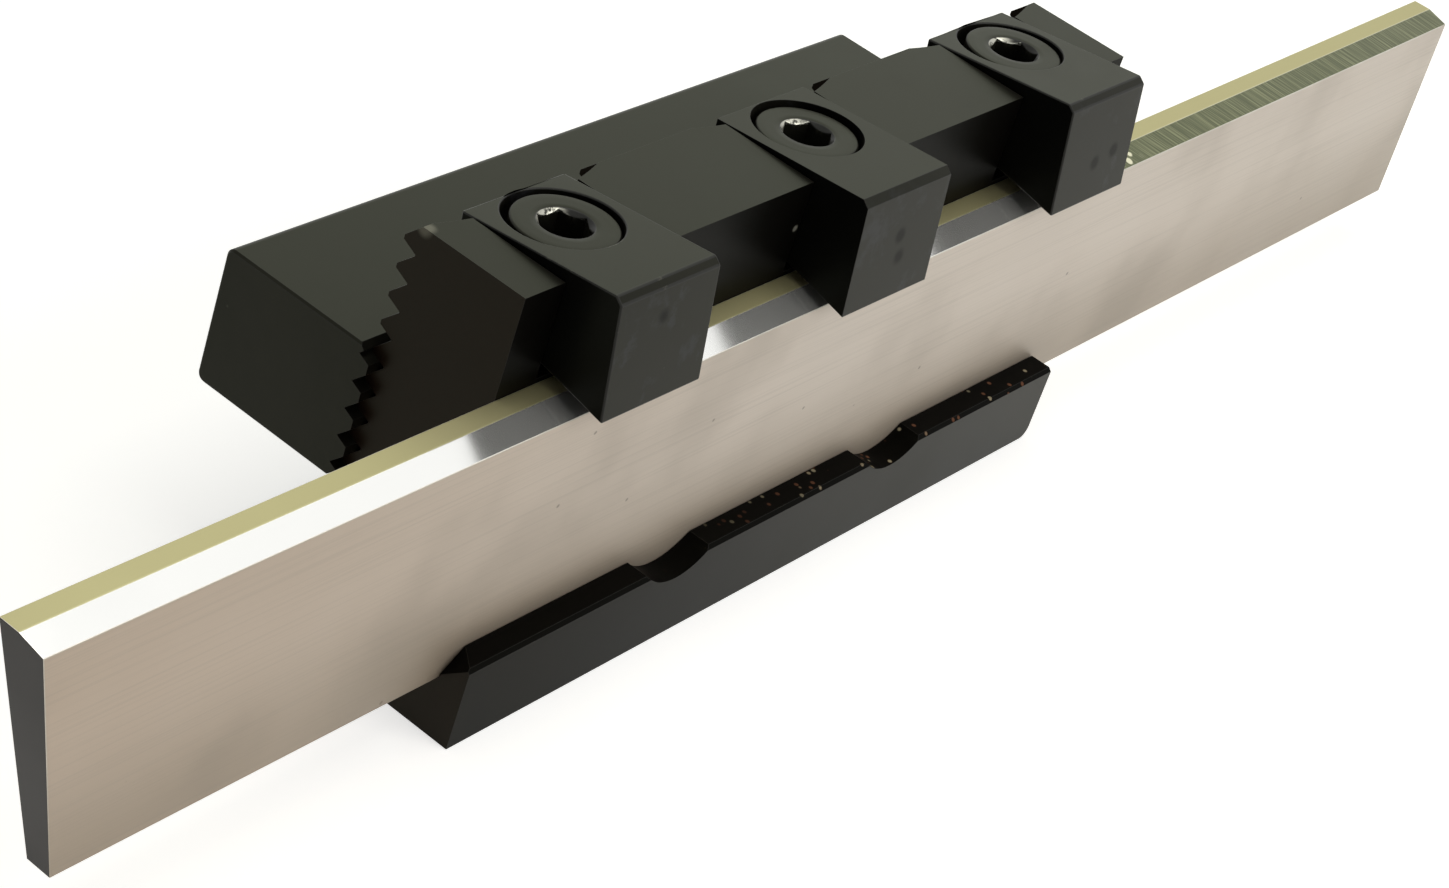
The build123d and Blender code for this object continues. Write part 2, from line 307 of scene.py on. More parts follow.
@dataclass(frozen=True)
class BlackOxideSteel:
    """Milled tool steel, hot blackened and oiled.

    The black skin is a thin porous iron oxide filled with oil: nearly black inside, with a soft
    low sheen like that of a liquid film, and not a mirror. Broad stains from the salt bath, faint
    cutter lines and small pale rub marks show on it.
    """

    name: str
    dark: str = "#11100D"
    pale: str = "#1A1915"
    rub: str = "#6A6B60"
    sheen: str = "#EEF4CC"
    stain_mm: float = 11.0
    stain_fade: Fade = (0.36, 0.66)
    cutter_line_mm: float = 0.4
    line_stretch: Point = (0.012, 1.0, 1.0)
    grain_mm: float = 0.3
    relief: float = 0.12
    relief_mm: float = 0.004
    specks: Dots = Dots(5.5, (0.04, 0.02), (0.6, 0.7))
    speck_share: float = 0.35
    gloss_range: Fade = (0.3, 0.7)
    roughness: Fade = (0.33, 0.4)
    sheen_level: float = 0.143
    looks_out: Fade = (-0.6, -0.8)

    def build(self) -> Material:
        """Make the material.

        Returns:
            The material, with its patterns in Object coordinates.
        """
        material, tree, place = blank_material(self.name)
        stain = noise(tree, place, self.stain_mm, detail=4.0, roughness=0.6)
        # Cutter lines run along X, so their pattern is stretched that way.
        along = add_node(tree, "Mapping", inputs={"Vector": place, "Scale": self.line_stretch})
        lines = noise(tree, along.outputs[0], self.cutter_line_mm, detail=2.0)
        # Real oxide grain is some hundredths of a millimetre; it is drawn coarser, to show.
        grain = noise(tree, place, self.grain_mm, detail=2.0)
        colour = tint(
            tree,
            self.dark,
            (limits(tree, stain, self.stain_fade), self.pale),
            (times(tree, self.specks.mask(tree, place), self.speck_share), self.rub),
        )
        # The relief is half grain and half lines.
        height = tint(tree, grain, (0.5, lines))
        close_surface(
            tree,
            {
                "Base Color": self.local_marks(tree, place, colour),
                "Roughness": rescale(tree, stain, self.gloss_range, self.roughness),
                "Metallic": 0.0,
                "Specular IOR Level": self.level(tree, place),
                "Specular Tint": linear_colour(self.sheen),
                "Normal": bump(tree, height, self.relief, self.relief_mm),
            },
        )
        return material

    def level(self, tree: Tree, place: NodeSocket) -> object:
        """Give the sheen's strength, a number or a socket: the same all over on a plain piece."""
        return self.sheen_level

    def dulled(self, tree: Tree, dull: NodeSocket) -> NodeSocket:
        """Take a share off the sheen: one minus the share, times the plain strength."""
        return times(tree, combine(tree, "SUBTRACT", 1.0, dull), self.sheen_level)

    def local_marks(self, tree: Tree, place: NodeSocket, colour: NodeSocket) -> NodeSocket:
        """Add the marks that only some pieces have; the plain finish has none."""
        return colour


@dataclass(frozen=True)
class HeadOxideSteel(BlackOxideSteel):
    """The head's black oxide.

    Dull dirt and a few grains of swarf lie on the ledge of the lip. The fronts and the left end are
    painted darker and duller than the top as shade, and one rubbed corner and one dot are painted
    bright as highlights.
    """

    ledge_dark: str = "#0A0908"
    ledge_freckle: str = "#6E4A38"
    ledge_glint: str = "#A39A80"
    freckles: Dots = Dots(0.7, (0.3, 0.16), (0.58, 0.66))
    glints: Dots = Dots(0.7, (0.3, 0.16), (0.8, 0.84), "Green")
    swarf_mm: Fade = (-14.0, 12.0)
    ledge_front_mm: Fade = (-1.2, -1.7)
    ledge_low_mm: Fade = (7.5, 7.0)
    looks_up: Fade = (0.3, 0.6)
    ledge_dull: float = 0.85
    # Painted shade: the fronts above the blade, between the fingers, get a near-black tint and less
    # sheen.
    front_painted_shade: str = "#080706"
    front_high_mm: Fade = (14.0, 18.0)
    front_shade_dull: float = 0.72
    # Painted shade: the lip's front loses sheen the further left it is.
    leftward_mm: Fade = (28.0, -34.0)
    lip_dull: float = 0.75
    # Painted shade on the faces that look left: a dark brown tint and less sheen.
    end_painted_shade: str = "#1A0F0A"
    end_share: float = 0.8
    end_dull: float = 0.3
    # A painted highlight on the rubbed back corner of the top.
    worn: str = "#6F6D62"
    rubbed_highlight_corner: Spots = Spots(((-32.1, 7.7, 30.1),), 0.75)
    # A painted highlight: one small bright dot on the front.
    glint: str = "#8F8E84"
    glint_dot: Spots = Spots(((-5.1, 0.0, 26.8),), 0.32)

    def ledge(self, tree: Tree, place: NodeSocket) -> NodeSocket:
        """Find the upward faces of the lip, low down and in front of the blade."""
        front = beyond(tree, place, "Y", self.ledge_front_mm)
        low = beyond(tree, place, "Z", self.ledge_low_mm)
        return times(tree, front, low, facing(tree, "Z", self.looks_up))

    def shaded_upper_front(self, tree: Tree, place: NodeSocket) -> NodeSocket:
        """Find the front faces above the blade, between the fingers, where shade is painted."""
        high = beyond(tree, place, "Z", self.front_high_mm)
        return times(tree, high, facing(tree, "Y", self.looks_out))

    def level(self, tree: Tree, place: NodeSocket) -> object:
        """Take most of the sheen off the ledge, and off the fronts and some off the left end as
        painted shade.

        The lip's front gets duller the further left, a painted shade. Where two shares overlap, the
        larger counts.

        Args:
            tree: The node tree.
            place: The Object coordinates.

        Returns:
            The socket with the sheen's strength.
        """
        ledge = times(tree, self.ledge(tree, place), self.ledge_dull)
        upper = times(tree, self.shaded_upper_front(tree, place), self.front_shade_dull)
        leftward = beyond(tree, place, "X", self.leftward_mm)
        lip = times(tree, facing(tree, "Y", self.looks_out), leftward, self.lip_dull)
        end = times(tree, facing(tree, "X", self.looks_out), self.end_dull)
        both = combine(tree, "ADD", ledge, upper)
        return self.dulled(tree, combine(tree, "MAXIMUM", both, lip, end))

    def local_marks(self, tree: Tree, place: NodeSocket, colour: NodeSocket) -> NodeSocket:
        """Paint shade on the left end and the fronts, darken the ledge, and paint the two highlights.

        The ledge's grains of swarf get more towards the right.

        Args:
            tree: The node tree.
            place: The Object coordinates.
            colour: The colour so far.

        Returns:
            The colour with the marks.
        """
        swarf = beyond(tree, place, "X", self.swarf_mm)
        dirt = tint(
            tree,
            self.ledge_dark,
            (times(tree, self.freckles.mask(tree, place), swarf), self.ledge_freckle),
            (times(tree, self.glints.mask(tree, place), swarf), self.ledge_glint),
        )
        return tint(
            tree,
            colour,
            (times(tree, facing(tree, "X", self.looks_out), self.end_share), self.end_painted_shade),
            (self.shaded_upper_front(tree, place), self.front_painted_shade),
            (self.ledge(tree, place), dirt),
            *((mask, self.worn) for mask in self.rubbed_highlight_corner.masks(tree, place)),
            *((mask, self.glint) for mask in self.glint_dot.masks(tree, place)),
        )


@dataclass(frozen=True)
class FingerOxideSteel(BlackOxideSteel):
    """The fingers' black oxide: smudges and oil on the fronts, painted shade on the left sides."""

    smudge: str = "#33343A"
    smudge_mm: float = 3.0
    smudge_fade: Fade = (0.55, 0.68)
    smudge_share: float = 0.5
    smudge_faces: Fade = (-0.5, -0.8)
    # Painted shade on the sides that look left: a near-black tint and less sheen.
    side_painted_shade: str = "#0B0B0A"
    side_shade_dull: float = 0.65
    oil: str = "#030303"
    oil_share: float = 0.8
    oil_dull: float = 0.45
    oil_drops: Spots = Spots(
        (
            (23.9, -4.4, 26.3),
            (26.2, -4.4, 26.7),
            (0.1, -4.4, 27.4),
            (0.5, -4.4, 25.8),
            (-24.3, -4.4, 29.0),
        ),
        0.75,
    )

    def level(self, tree: Tree, place: NodeSocket) -> object:
        """Take most of the sheen off the sides that look left, as painted shade, and some off the
        drops of oil.

        Args:
            tree: The node tree.
            place: The Object coordinates.

        Returns:
            The socket with the sheen's strength.
        """
        side = times(tree, facing(tree, "X", self.looks_out), self.side_shade_dull)
        drops = [times(tree, drop, self.oil_dull) for drop in self.oil_drops.masks(tree, place)]
        return self.dulled(tree, combine(tree, "MAXIMUM", side, *drops))

    def local_marks(self, tree: Tree, place: NodeSocket, colour: NodeSocket) -> NodeSocket:
        """Put greyish smudges and black drops on the fronts, and paint shade on the sides that look
        left.

        Args:
            tree: The node tree.
            place: The Object coordinates.
            colour: The colour so far.

        Returns:
            The colour with the marks.
        """
        blots = noise(tree, place, self.smudge_mm, detail=5.0, roughness=0.65)
        fronts = facing(tree, "Y", self.smudge_faces)
        smudges = times(tree, fronts, limits(tree, blots, self.smudge_fade), self.smudge_share)
        drops = [times(tree, drop, self.oil_share) for drop in self.oil_drops.masks(tree, place)]
        return tint(
            tree,
            colour,
            (smudges, self.smudge),
            *((drop, self.oil) for drop in drops),
            (facing(tree, "X", self.looks_out), self.side_painted_shade),
        )


@dataclass(frozen=True)
class WornEdgeSteel:
    """The eased edges, where handling has rubbed the oxide thin and some steel shines through."""

    name: str
    oxide: str = "#1E1E1A"
    steel: str = "#66655B"
    patch_mm: float = 3.0
    patch_fade: Fade = (0.6, 0.8)
    metal_share: float = 0.6
    roughness: float = 0.4
    sheen_level: float = 0.2

    def build(self) -> Material:
        """Make the material.

        Returns:
            The material, dark oxide with patches of bare steel.
        """
        material, tree, place = blank_material(self.name)
        patches = noise(tree, place, self.patch_mm, detail=5.0, roughness=0.7)
        bare = limits(tree, patches, self.patch_fade)
        close_surface(
            tree,
            {
                "Base Color": tint(tree, self.oxide, (bare, self.steel)),
                "Metallic": times(tree, bare, self.metal_share),
                "Roughness": self.roughness,
                "Specular IOR Level": self.sheen_level,
            },
        )
        return material


@dataclass(frozen=True)
class GroundToolSteel:
    """Hardened tool steel, surface ground along its length.

    Grinding leaves bright bare metal with fine lines along X, which the eye sees as a soft, warm
    grey sheen. The narrow top is left rough from the mill, the ends are sawn and browned, and past
    the last finger the bevel is ground crosswise, with a few bright chips beside the finger. The face
    is painted darker towards the left end and towards its foot as shade, the bevel near white up to
    the last finger as a painted highlight, and darker olive past it as a painted reflection under the
    crosswise marks.
    """

    name: str
    # Painted light: the face is darker towards the left end and lighter to the right.
    left: str = "#C6B39F"
    right: str = "#D8CDC1"
    sideways_mm: Fade = (-75.0, 5.0)
    # Painted shade: the face darkens towards its foot, over the lip.
    foot: str = "#94856F"
    foot_mm: Fade = (17.0, 4.0)
    foot_share: float = 0.6
    streak: str = "#8F867A"
    grind_line_mm: float = 0.16
    line_stretch: Point = (0.006, 1.0, 1.0)
    line_fade: Fade = (0.45, 0.75)
    line_share: float = 0.16
    stain_mm: float = 14.0
    stain_fade: Fade = (0.45, 0.72)
    stain_share: float = 0.3
    fleck: str = "#6A5D50"
    flecks: Dots = Dots(3.6, (0.05, 0.028), (0.5, 0.58))
    fleck_share: float = 0.6
    # Painted highlight: the bevel's near-white colour up to the last finger.
    bevel: str = "#FFFFFC"
    bevel_up: Fade = (0.8, 0.9)
    bevel_forward: Fade = (-0.15, -0.25)
    past_mm: Fade = (27.0, 30.0)
    # Painted reflection past the last finger: a darker olive, under the real crosswise marks.
    bevel_right: str = "#5A5F44"
    cross_mark: str = "#878A68"
    cross_line_mm: float = 0.12
    cross_stretch: Point = (1.0, 50.0, 50.0)
    cross_degrees: float = 28.0
    cross_fade: Fade = (0.4, 0.7)
    chip: str = "#E6E3C4"
    chips: Dots = Dots(1.1, (0.36, 0.26), (0.45, 0.55), "Green")
    chipped_mm: Fade = (37.0, 34.5)
    top: str = "#A8A27C"
    top_up: Fade = (0.975, 0.99)
    end: str = "#1C1814"
    end_side: Fade = (0.7, 0.85)
    face_forward: Fade = (-0.8, -0.95)
    gloss_range: Fade = (0.3, 0.7)
    roughness: Fade = (0.41, 0.51)
    sawn_coarser: float = 0.15
    bevel_finer: float = 0.32
    past_less: float = 0.6
    face_scatter: float = 0.8
    bevel_scatter: float = 0.2
    end_scatter: float = 0.7
    relief: float = 0.15
    relief_mm: float = 0.002

    def crosswise(self, tree: Tree, place: NodeSocket) -> NodeSocket:
        """Colour the crosswise grinding marks, which lean across the bevel, over its darker olive, a
        painted reflection.

        The pattern is turned about Z and stretched along the marks.

        Args:
            tree: The node tree.
            place: The Object coordinates.

        Returns:
            The socket with the marks' colour.
        """
        turn = (0.0, 0.0, math.radians(self.cross_degrees))
        inputs = {"Vector": place, "Rotation": turn, "Scale": self.cross_stretch}
        across = add_node(tree, "Mapping", {"vector_type": "TEXTURE"}, inputs).outputs[0]
        marks = noise(tree, across, self.cross_line_mm, detail=3.0)
        return tint(tree, self.bevel_right, (limits(tree, marks, self.cross_fade), self.cross_mark))

    def build(self) -> Material:
        """Make the material.

        The part of the light that the metal scatters is taken off its metallic share, so that the
        ground face shows no sharp mirror image.

        Returns:
            The material, bare metal with faint streaks along X.
        """
        material, tree, place = blank_material(self.name)
        # Grinding lines are 0.02 mm apart on the real blade; they are drawn coarser, to show.
        along = add_node(tree, "Mapping", inputs={"Vector": place, "Scale": self.line_stretch})
        lines = noise(tree, along.outputs[0], self.grind_line_mm, detail=3.0)
        cloud = noise(tree, place, self.stain_mm, detail=3.0)
        narrow = facing(tree, "Z", self.top_up)
        other_side = (-self.end_side[0], -self.end_side[1])
        both = [facing(tree, "X", side) for side in (self.end_side, other_side)]
        ends = combine(tree, "MAXIMUM", *both)
        forward = facing(tree, "Y", self.bevel_forward)
        bevel = times(tree, facing(tree, "Z", self.bevel_up), forward)
        past = times(tree, bevel, beyond(tree, place, "X", self.past_mm))
        chipped = beyond(tree, place, "X", self.chipped_mm)
        colour = tint(
            tree,
            self.left,
            # Painted light: darker towards the left end.
            (beyond(tree, place, "X", self.sideways_mm), self.right),
            # Painted shade towards the foot.
            (times(tree, beyond(tree, place, "Z", self.foot_mm), self.foot_share), self.foot),
            (times(tree, limits(tree, lines, self.line_fade), self.line_share), self.streak),
            (times(tree, limits(tree, cloud, self.stain_fade), self.stain_share), self.streak),
            (times(tree, self.flecks.mask(tree, place), self.fleck_share), self.fleck),
            # Painted highlight on the bevel, then a darker painted reflection past the last finger.
            (bevel, self.bevel),
            (past, self.crosswise(tree, place)),
            (times(tree, self.chips.mask(tree, place), past, chipped), self.chip),
            (narrow, self.top),
            (ends, self.end),
        )
        gloss = rescale(tree, cloud, self.gloss_range, self.roughness)
        sawn = times(tree, combine(tree, "MAXIMUM", narrow, ends), self.sawn_coarser)
        # The bevel is ground finer than the face and mirrors what stands over it.
        kept = combine(tree, "SUBTRACT", 1.0, times(tree, past, self.past_less))
        fine = times(tree, bevel, kept, self.bevel_finer)
        face = times(tree, facing(tree, "Y", self.face_forward), self.face_scatter)
        scatter = combine(tree, "ADD", face, times(tree, bevel, self.bevel_scatter))
        sawn_end = times(tree, ends, self.end_scatter)
        close_surface(
            tree,
            {
                "Base Color": colour,
                "Metallic": combine(tree, "SUBTRACT", 1.0, scatter, sawn_end),
                "Roughness": combine(tree, "SUBTRACT", combine(tree, "ADD", gloss, sawn), fine),
                "Normal": bump(tree, lines, self.relief, self.relief_mm),
            },
        )
        return material


@dataclass(frozen=True)
class KeyWornHighlightSteel:
    """A socket's mouth: key-worn bare metal, kept to its rear side as a painted highlight."""

    name: str
    # Painted highlight: the bright bare metal lies only on the rear side of the mouth.
    metal: str = "#B9B8AC"
    oxide: str = "#22221E"
    blot_mm: float = 0.5
    blot_fade: Fade = (0.36, 0.52)
    rear_side: Fade = (-0.3, -0.6)
    roughness: float = 0.3
    sheen_level: float = 0.2
    relief: float = 0.35
    relief_mm: float = 0.012

    def build(self) -> Material:
        """Make the material.

        Returns:
            The material, bare metal on the side that looks forwards as a painted highlight, and dark
            elsewhere.
        """
        material, tree, place = blank_material(self.name)
        blots = noise(tree, place, self.blot_mm, detail=4.0, roughness=0.6)
        # Bare metal on the rear side only, a painted highlight.
        bare = times(tree, facing(tree, "Y", self.rear_side), limits(tree, blots, self.blot_fade))
        close_surface(
            tree,
            {
                "Base Color": tint(tree, self.oxide, (bare, self.metal)),
                "Metallic": bare,
                "Roughness": self.roughness,
                "Specular IOR Level": self.sheen_level,
                "Normal": bump(tree, blots, self.relief, self.relief_mm),
            },
        )
        return material


def mesh_from_arrays(name: str, points: np.ndarray, quads: np.ndarray, tris: np.ndarray) -> Piece:
    """Put whole arrays into a new mesh object.

    Args:
        name: The object's name.
        points: Vertices, in metres, one row each.
        quads: Corner numbers of the four-sided faces.
        tris: Corner numbers of the three-sided faces.

    Returns:
        The new object, at the origin and unturned.
    """
    mesh = bpy.data.meshes.new(name)
    corners = np.concatenate([quads.ravel(), tris.ravel()]).astype(np.int32)
    counts = np.concatenate([np.full(len(quads), 4), np.full(len(tris), 3)]).astype(np.int32)
    starts = np.concatenate([[0], np.cumsum(counts)[:-1]]).astype(np.int32)
    mesh.vertices.add(len(points))
    mesh.vertices.foreach_set("co", points.astype(np.float32).ravel())
    mesh.loops.add(len(corners))
    mesh.loops.foreach_set("vertex_index", corners)
    mesh.polygons.add(len(counts))
    mesh.polygons.foreach_set("loop_start", starts)
    mesh.update(calc_edges=True)
    mesh.validate()
    piece = bpy.data.objects.new(name, mesh)
    bpy.context.scene.collection.objects.link(piece)
    return piece


def turned_mesh(
    name: str,
    radius: np.ndarray,
    height: np.ndarray,
    seat: np.ndarray,
    axis: np.ndarray,
    sharp_degrees: float = 35.0,
) -> Piece:
    """Close a grid of radii and heights round an axis, with a point at each end.

    A vertex is the seat plus height along the axis plus radius at the column's angle round it. The
    first and last rows shrink to one vertex each.

    Args:
        name: The object's name.
        radius: Radius by row and column, in metres. The columns go once round.
        height: Height by row and column, in metres.
        seat: The point on the axis with height 0.
        axis: Unit vector along the axis.
        sharp_degrees: The angle between faces from which their edge is shaded sharp.

    Returns:
        The new object.
    """
    rows, columns = radius.shape
    angle = np.arange(columns) * (2 * np.pi / columns)
    side = np.cross(axis, [1.0, 0.0, 0.0])
    side /= np.linalg.norm(side)
    other = np.cross(axis, side)
    ring = np.cos(angle)[:, None] * side + np.sin(angle)[:, None] * other
    body = seat + height[..., None] * axis + radius[..., None] * ring[None]
    ends = np.array([seat + axis * height[0].mean(), seat + axis * height[-1].mean()])
    points = np.concatenate([body[1:-1].reshape(-1, 3), ends])
    number = np.arange((rows - 2) * columns).reshape(rows - 2, columns)
    following = np.roll(number, -1, axis=1)
    quads = np.stack([number[:-1], number[1:], following[1:], following[:-1]], axis=-1)
    first = np.full(columns, len(points) - 2)
    last = np.full(columns, len(points) - 1)
    tris = np.concatenate(
        [
            np.stack([first, number[0], following[0]], -1),
            np.stack([last, following[-1], number[-1]], -1),
        ]
    )
    piece = mesh_from_arrays(name, points, quads.reshape(-1, 4), tris)
    shape = bmesh.new()
    shape.from_mesh(piece.data)
    bmesh.ops.recalc_face_normals(shape, faces=shape.faces)
    shape.to_mesh(piece.data)
    shape.free()
    piece.data.shade_smooth()
    piece.data.set_sharp_from_angle(angle=math.radians(sharp_degrees))
    return piece


@dataclass
class SocketScrew:
    """A socket head cap screw, with a knurled head, a hex socket and a cut thread.

    The sizes are those of a finger's screw. Its head is 0.04 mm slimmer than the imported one, so
    that its sharper rim clears the counterbore when the finger is down. A hair is the smallest
    step between two rows.
    """

    node: str
    body: str
    drive: Drive
    thread_radius: float = 2.0 * MM
    pitch: float = 0.7 * MM
    thread_depth: float = 0.4 * MM
    head_radius: float = 3.34 * MM
    head_height: float = 3.85 * MM
    flats: float = 3.0 * MM
    socket_depth: float = 2.2 * MM
    socket_sag: float = 0.4 * MM
    mouth_ratio: float = 1.19
    mouth_depth: float = 0.24 * MM
    mouth_land: float = 0.03 * MM
    bottom_shares: tuple[float, ...] = (0.0, 0.5, 0.96)
    wall_rows: int = 5
    mouth_rows: int = 6
    land_shares: tuple[float, ...] = (0.0, 0.3, 0.65, 1.0)
    rim: float = 0.16 * MM
    rim_rows: int = 5
    knurl_count: int = 36
    knurl_depth: float = 0.09 * MM
    knurl_foot: float = 0.25 * MM
    knurl_rows: int = 6
    under_head: float = 0.15 * MM
    neck_turns: float = 1.2
    first_turn: float = 1.35
    thread_flat: float = 0.2
    tip_share: float = 0.95
    tip_slope: float = 0.9
    hair: float = 0.02 * MM
    columns: int = 144
    rows_per_pitch: int = 8
    turn_degrees: float = 0.0

    def place(self) -> tuple[np.ndarray, np.ndarray, float]:
        """Find the seat under the head, the axis towards the head, and the length below the seat.

        Returns:
            The seat point, the unit axis and the length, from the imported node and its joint.
        """
        if self.drive is Drive.FINGER:
            joint = next(j for j in frame["joints"] if j["child"] == self.body)
            axis = -np.array(joint["axis"], float)
            axis /= np.linalg.norm(axis)
            through = np.array(joint["pos_m"], float)
        else:
            axis = np.array([0.0, -1.0, 0.0])
            low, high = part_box(self.node)
            through = np.array([(low.x + high.x) / 2, 0.0, (low.z + high.z) / 2])
        mesh = frame["nodes"][self.node].data
        points = np.empty(len(mesh.vertices) * 3)
        mesh.vertices.foreach_get("co", points)
        along = (points.reshape(-1, 3) - through) @ axis
        seat = through + axis * (along.max() - self.head_height)
        return seat, axis, float(along.max() - along.min() - self.head_height)

    def socket(self, angle: np.ndarray) -> list[Row]:
        """Work out the rows from the socket's bottom to the flat of the head.

        The socket's wall is half the width across flats over the cosine of the angle from the
        nearest flat. Its bottom sinks towards the middle. Its mouth is a cone, so it takes the
        larger of cone and wall, and from there the flat runs out to the rim.

        Args:
            angle: The angles round the axis.

        Returns:
            The rows.
        """
        sixth = np.pi / 3
        turned = angle - np.radians(self.turn_degrees) + sixth / 2
        wall = self.flats / 2 / np.cos(turned % sixth - sixth / 2)
        top = self.head_height
        floor = top - self.socket_depth
        mouth = self.flats / 2 * self.mouth_ratio
        sag = self.socket_sag
        wall_end = top - self.mouth_depth - 3 * self.hair
        walls = np.linspace(floor + self.hair, wall_end, self.wall_rows)
        cones = np.linspace(top - self.mouth_depth, top - self.hair, self.mouth_rows)
        land = np.maximum(wall, mouth) + self.mouth_land
        out = self.head_radius - self.rim - land
        return [
            *((wall * share, floor - sag * (1 - share)) for share in self.bottom_shares),
            *((wall, up) for up in walls),
            *((np.maximum(wall, mouth - (top - up)), up) for up in cones),
            *((land + out * share, top) for share in self.land_shares),
        ]

    def head(self, angle: np.ndarray) -> list[Row]:
        """Work out the rows from the rounded rim down the knurl to the neck.

        The rim is a quarter of a circle. The knurl takes a cosine of the angle off the head's side
        and fades out at both ends.

        Args:
            angle: The angles round the axis.

        Returns:
            The rows.
        """
        top = self.head_height
        flat_end = self.head_radius - self.rim
        rows: list[Row] = [
            (flat_end + self.rim * np.sin(turn), top - self.rim * (1 - np.cos(turn)))
            for turn in np.linspace(0, np.pi / 2, self.rim_rows + 1)[1:]
        ]
        ridges = self.knurl_depth * (0.5 - 0.5 * np.cos(self.knurl_count * angle))
        side = top - self.rim - self.knurl_foot
        for share in np.linspace(0, 1, self.knurl_rows + 1)[1:]:
            fade = min(1.0, 4 * share, 4 * (1 - share) + 0.2)
            rows.append((self.head_radius - ridges * fade, top - self.rim - share * side))
        neck = self.thread_radius - self.hair
        rows += [
            (self.head_radius - self.under_head, 0.0),
            (neck, 0.0),
            (neck, -self.neck_turns * self.pitch),
        ]
        return rows

    def thread(self, angle: np.ndarray, length: float) -> tuple[np.ndarray, np.ndarray]:
        """Work out the thread's radius at each height.

        The thread is a blunt triangle wave of height over pitch plus turns, which grows over its
        first turn. The tip is a cone, so the radius takes the smaller of thread and cone.

        Args:
            angle: The angles round the axis.
            length: The thread's length below the head.

        Returns:
            The radius by row and column, and the rows' heights.
        """
        start = -self.first_turn * self.pitch
        steps = int(length / self.pitch * self.rows_per_pitch)
        downs = np.linspace(start, -length + self.hair, steps)[:, None]
        phase = downs / self.pitch + angle[None] / (2 * np.pi)
        blunt = 1 + 2 * self.thread_flat
        wave = np.clip(np.abs((phase % 1.0) * 2 - 1) * blunt - self.thread_flat, 0, 1)
        grown = np.clip((start - downs) / self.pitch, 0, 1)
        radius = self.thread_radius - self.thread_depth * (wave * grown)
        root = self.thread_radius - self.thread_depth
        cone = root * self.tip_share + (downs + length) * self.tip_slope
        return np.minimum(radius, cone), downs

    def surface(self, length: float) -> tuple[np.ndarray, np.ndarray]:
        """Work out the whole grid, from the socket's bottom, over the head, to the tip.

        Args:
            length: The thread's length below the head.

        Returns:
            Radius and height, rows by columns.
        """
        angle = np.arange(self.columns) * (2 * np.pi / self.columns)
        rows = self.socket(angle) + self.head(angle)
        thread, downs = self.thread(angle, length)
        shape = (1, self.columns)
        radius = [np.broadcast_to(r, shape) for r, _ in rows] + [thread, np.zeros(shape)]
        height = [np.full(shape, h) for _, h in rows]
        height += [np.repeat(downs, self.columns, 1), np.full(shape, -length)]
        return np.concatenate(radius), np.concatenate(height)

    def build(self, finish: Material, worn: Material) -> Piece:
        """Make the screw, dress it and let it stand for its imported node.

        Args:
            finish: The screw's material.
            worn: The material of the socket's mouth.

        Returns:
            The new piece.
        """
        seat, axis, length = self.place()
        radius, height = self.surface(length)
        piece = turned_mesh(self.node + "_cut", radius, height, seat, axis)
        piece.data.materials.append(finish)
        piece.data.materials.append(worn)
        # The quads lie row after row, so the mouth's are one run of numbers. The first row is a
        # point and quads join two rows, so the run starts two short of the rows before it.
        first = len(self.bottom_shares) + self.wall_rows - 2
        last = first + self.mouth_rows + 1
        skins = np.zeros(len(piece.data.polygons), np.int32)
        skins[first * self.columns : last * self.columns] = 1
        piece.data.polygons.foreach_set("material_index", skins)
        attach(piece, self.body)
        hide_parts(self.node)
        return piece


@dataclass
class HeightScrew(SocketScrew):
    """One of the two larger screws that hold the head on the shank."""

    thread_radius: float = 2.5 * MM
    pitch: float = 0.8 * MM
    thread_depth: float = 0.45 * MM
    head_radius: float = 4.25 * MM
    head_height: float = 3.5 * MM
    flats: float = 4.0 * MM
    socket_depth: float = 2.0 * MM


@dataclass
class EasedPiece:
    """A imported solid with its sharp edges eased, as a file and use leave them.

    The copy has the solid's own faces, with each flat face whole again, and a narrow rounded strip
    along every sharp edge that takes the second material.
    """

    node: str
    body: str
    slot: str
    ease: float = 0.1 * MM
    segments: int = 2
    sharp_degrees: float = 32.0
    flat_degrees: float = 0.6
    merge: float = 0.002 * MM
    shading_weight: int = 80

    def build(self, face: Material, edge: Material) -> Piece:
        """Make the eased copy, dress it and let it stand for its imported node.

        Args:
            face: The material of the solid's faces.
            edge: The material of the eased edges.

        Returns:
            The new piece.
        """
        shape = bmesh.new()
        shape.from_mesh(frame["nodes"][self.node].data)
        bmesh.ops.remove_doubles(shape, verts=shape.verts, dist=self.merge)
        bmesh.ops.dissolve_limit(
            shape,
            angle_limit=math.radians(self.flat_degrees),
            use_dissolve_boundaries=False,
            verts=shape.verts,
            edges=shape.edges,
        )
        mesh = bpy.data.meshes.new(self.node + "_eased")
        shape.to_mesh(mesh)
        shape.free()
        mesh.materials.append(face)
        mesh.materials.append(edge)
        mesh.polygons.foreach_set("material_index", np.zeros(len(mesh.polygons), np.int32))
        mesh.shade_smooth()
        piece = bpy.data.objects.new(mesh.name, mesh)
        bpy.context.scene.collection.objects.link(piece)
        soft = piece.modifiers.new("eased edges", "BEVEL")
        soft.width = self.ease
        soft.segments = self.segments
        soft.limit_method = "ANGLE"
        soft.angle_limit = math.radians(self.sharp_degrees)
        soft.use_clamp_overlap = True
        soft.material = 1
        even = piece.modifiers.new("even shading", "WEIGHTED_NORMAL")
        even.mode = "FACE_AREA"
        even.weight = self.shading_weight
        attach(piece, self.body)
        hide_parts(self.node)
        return piece


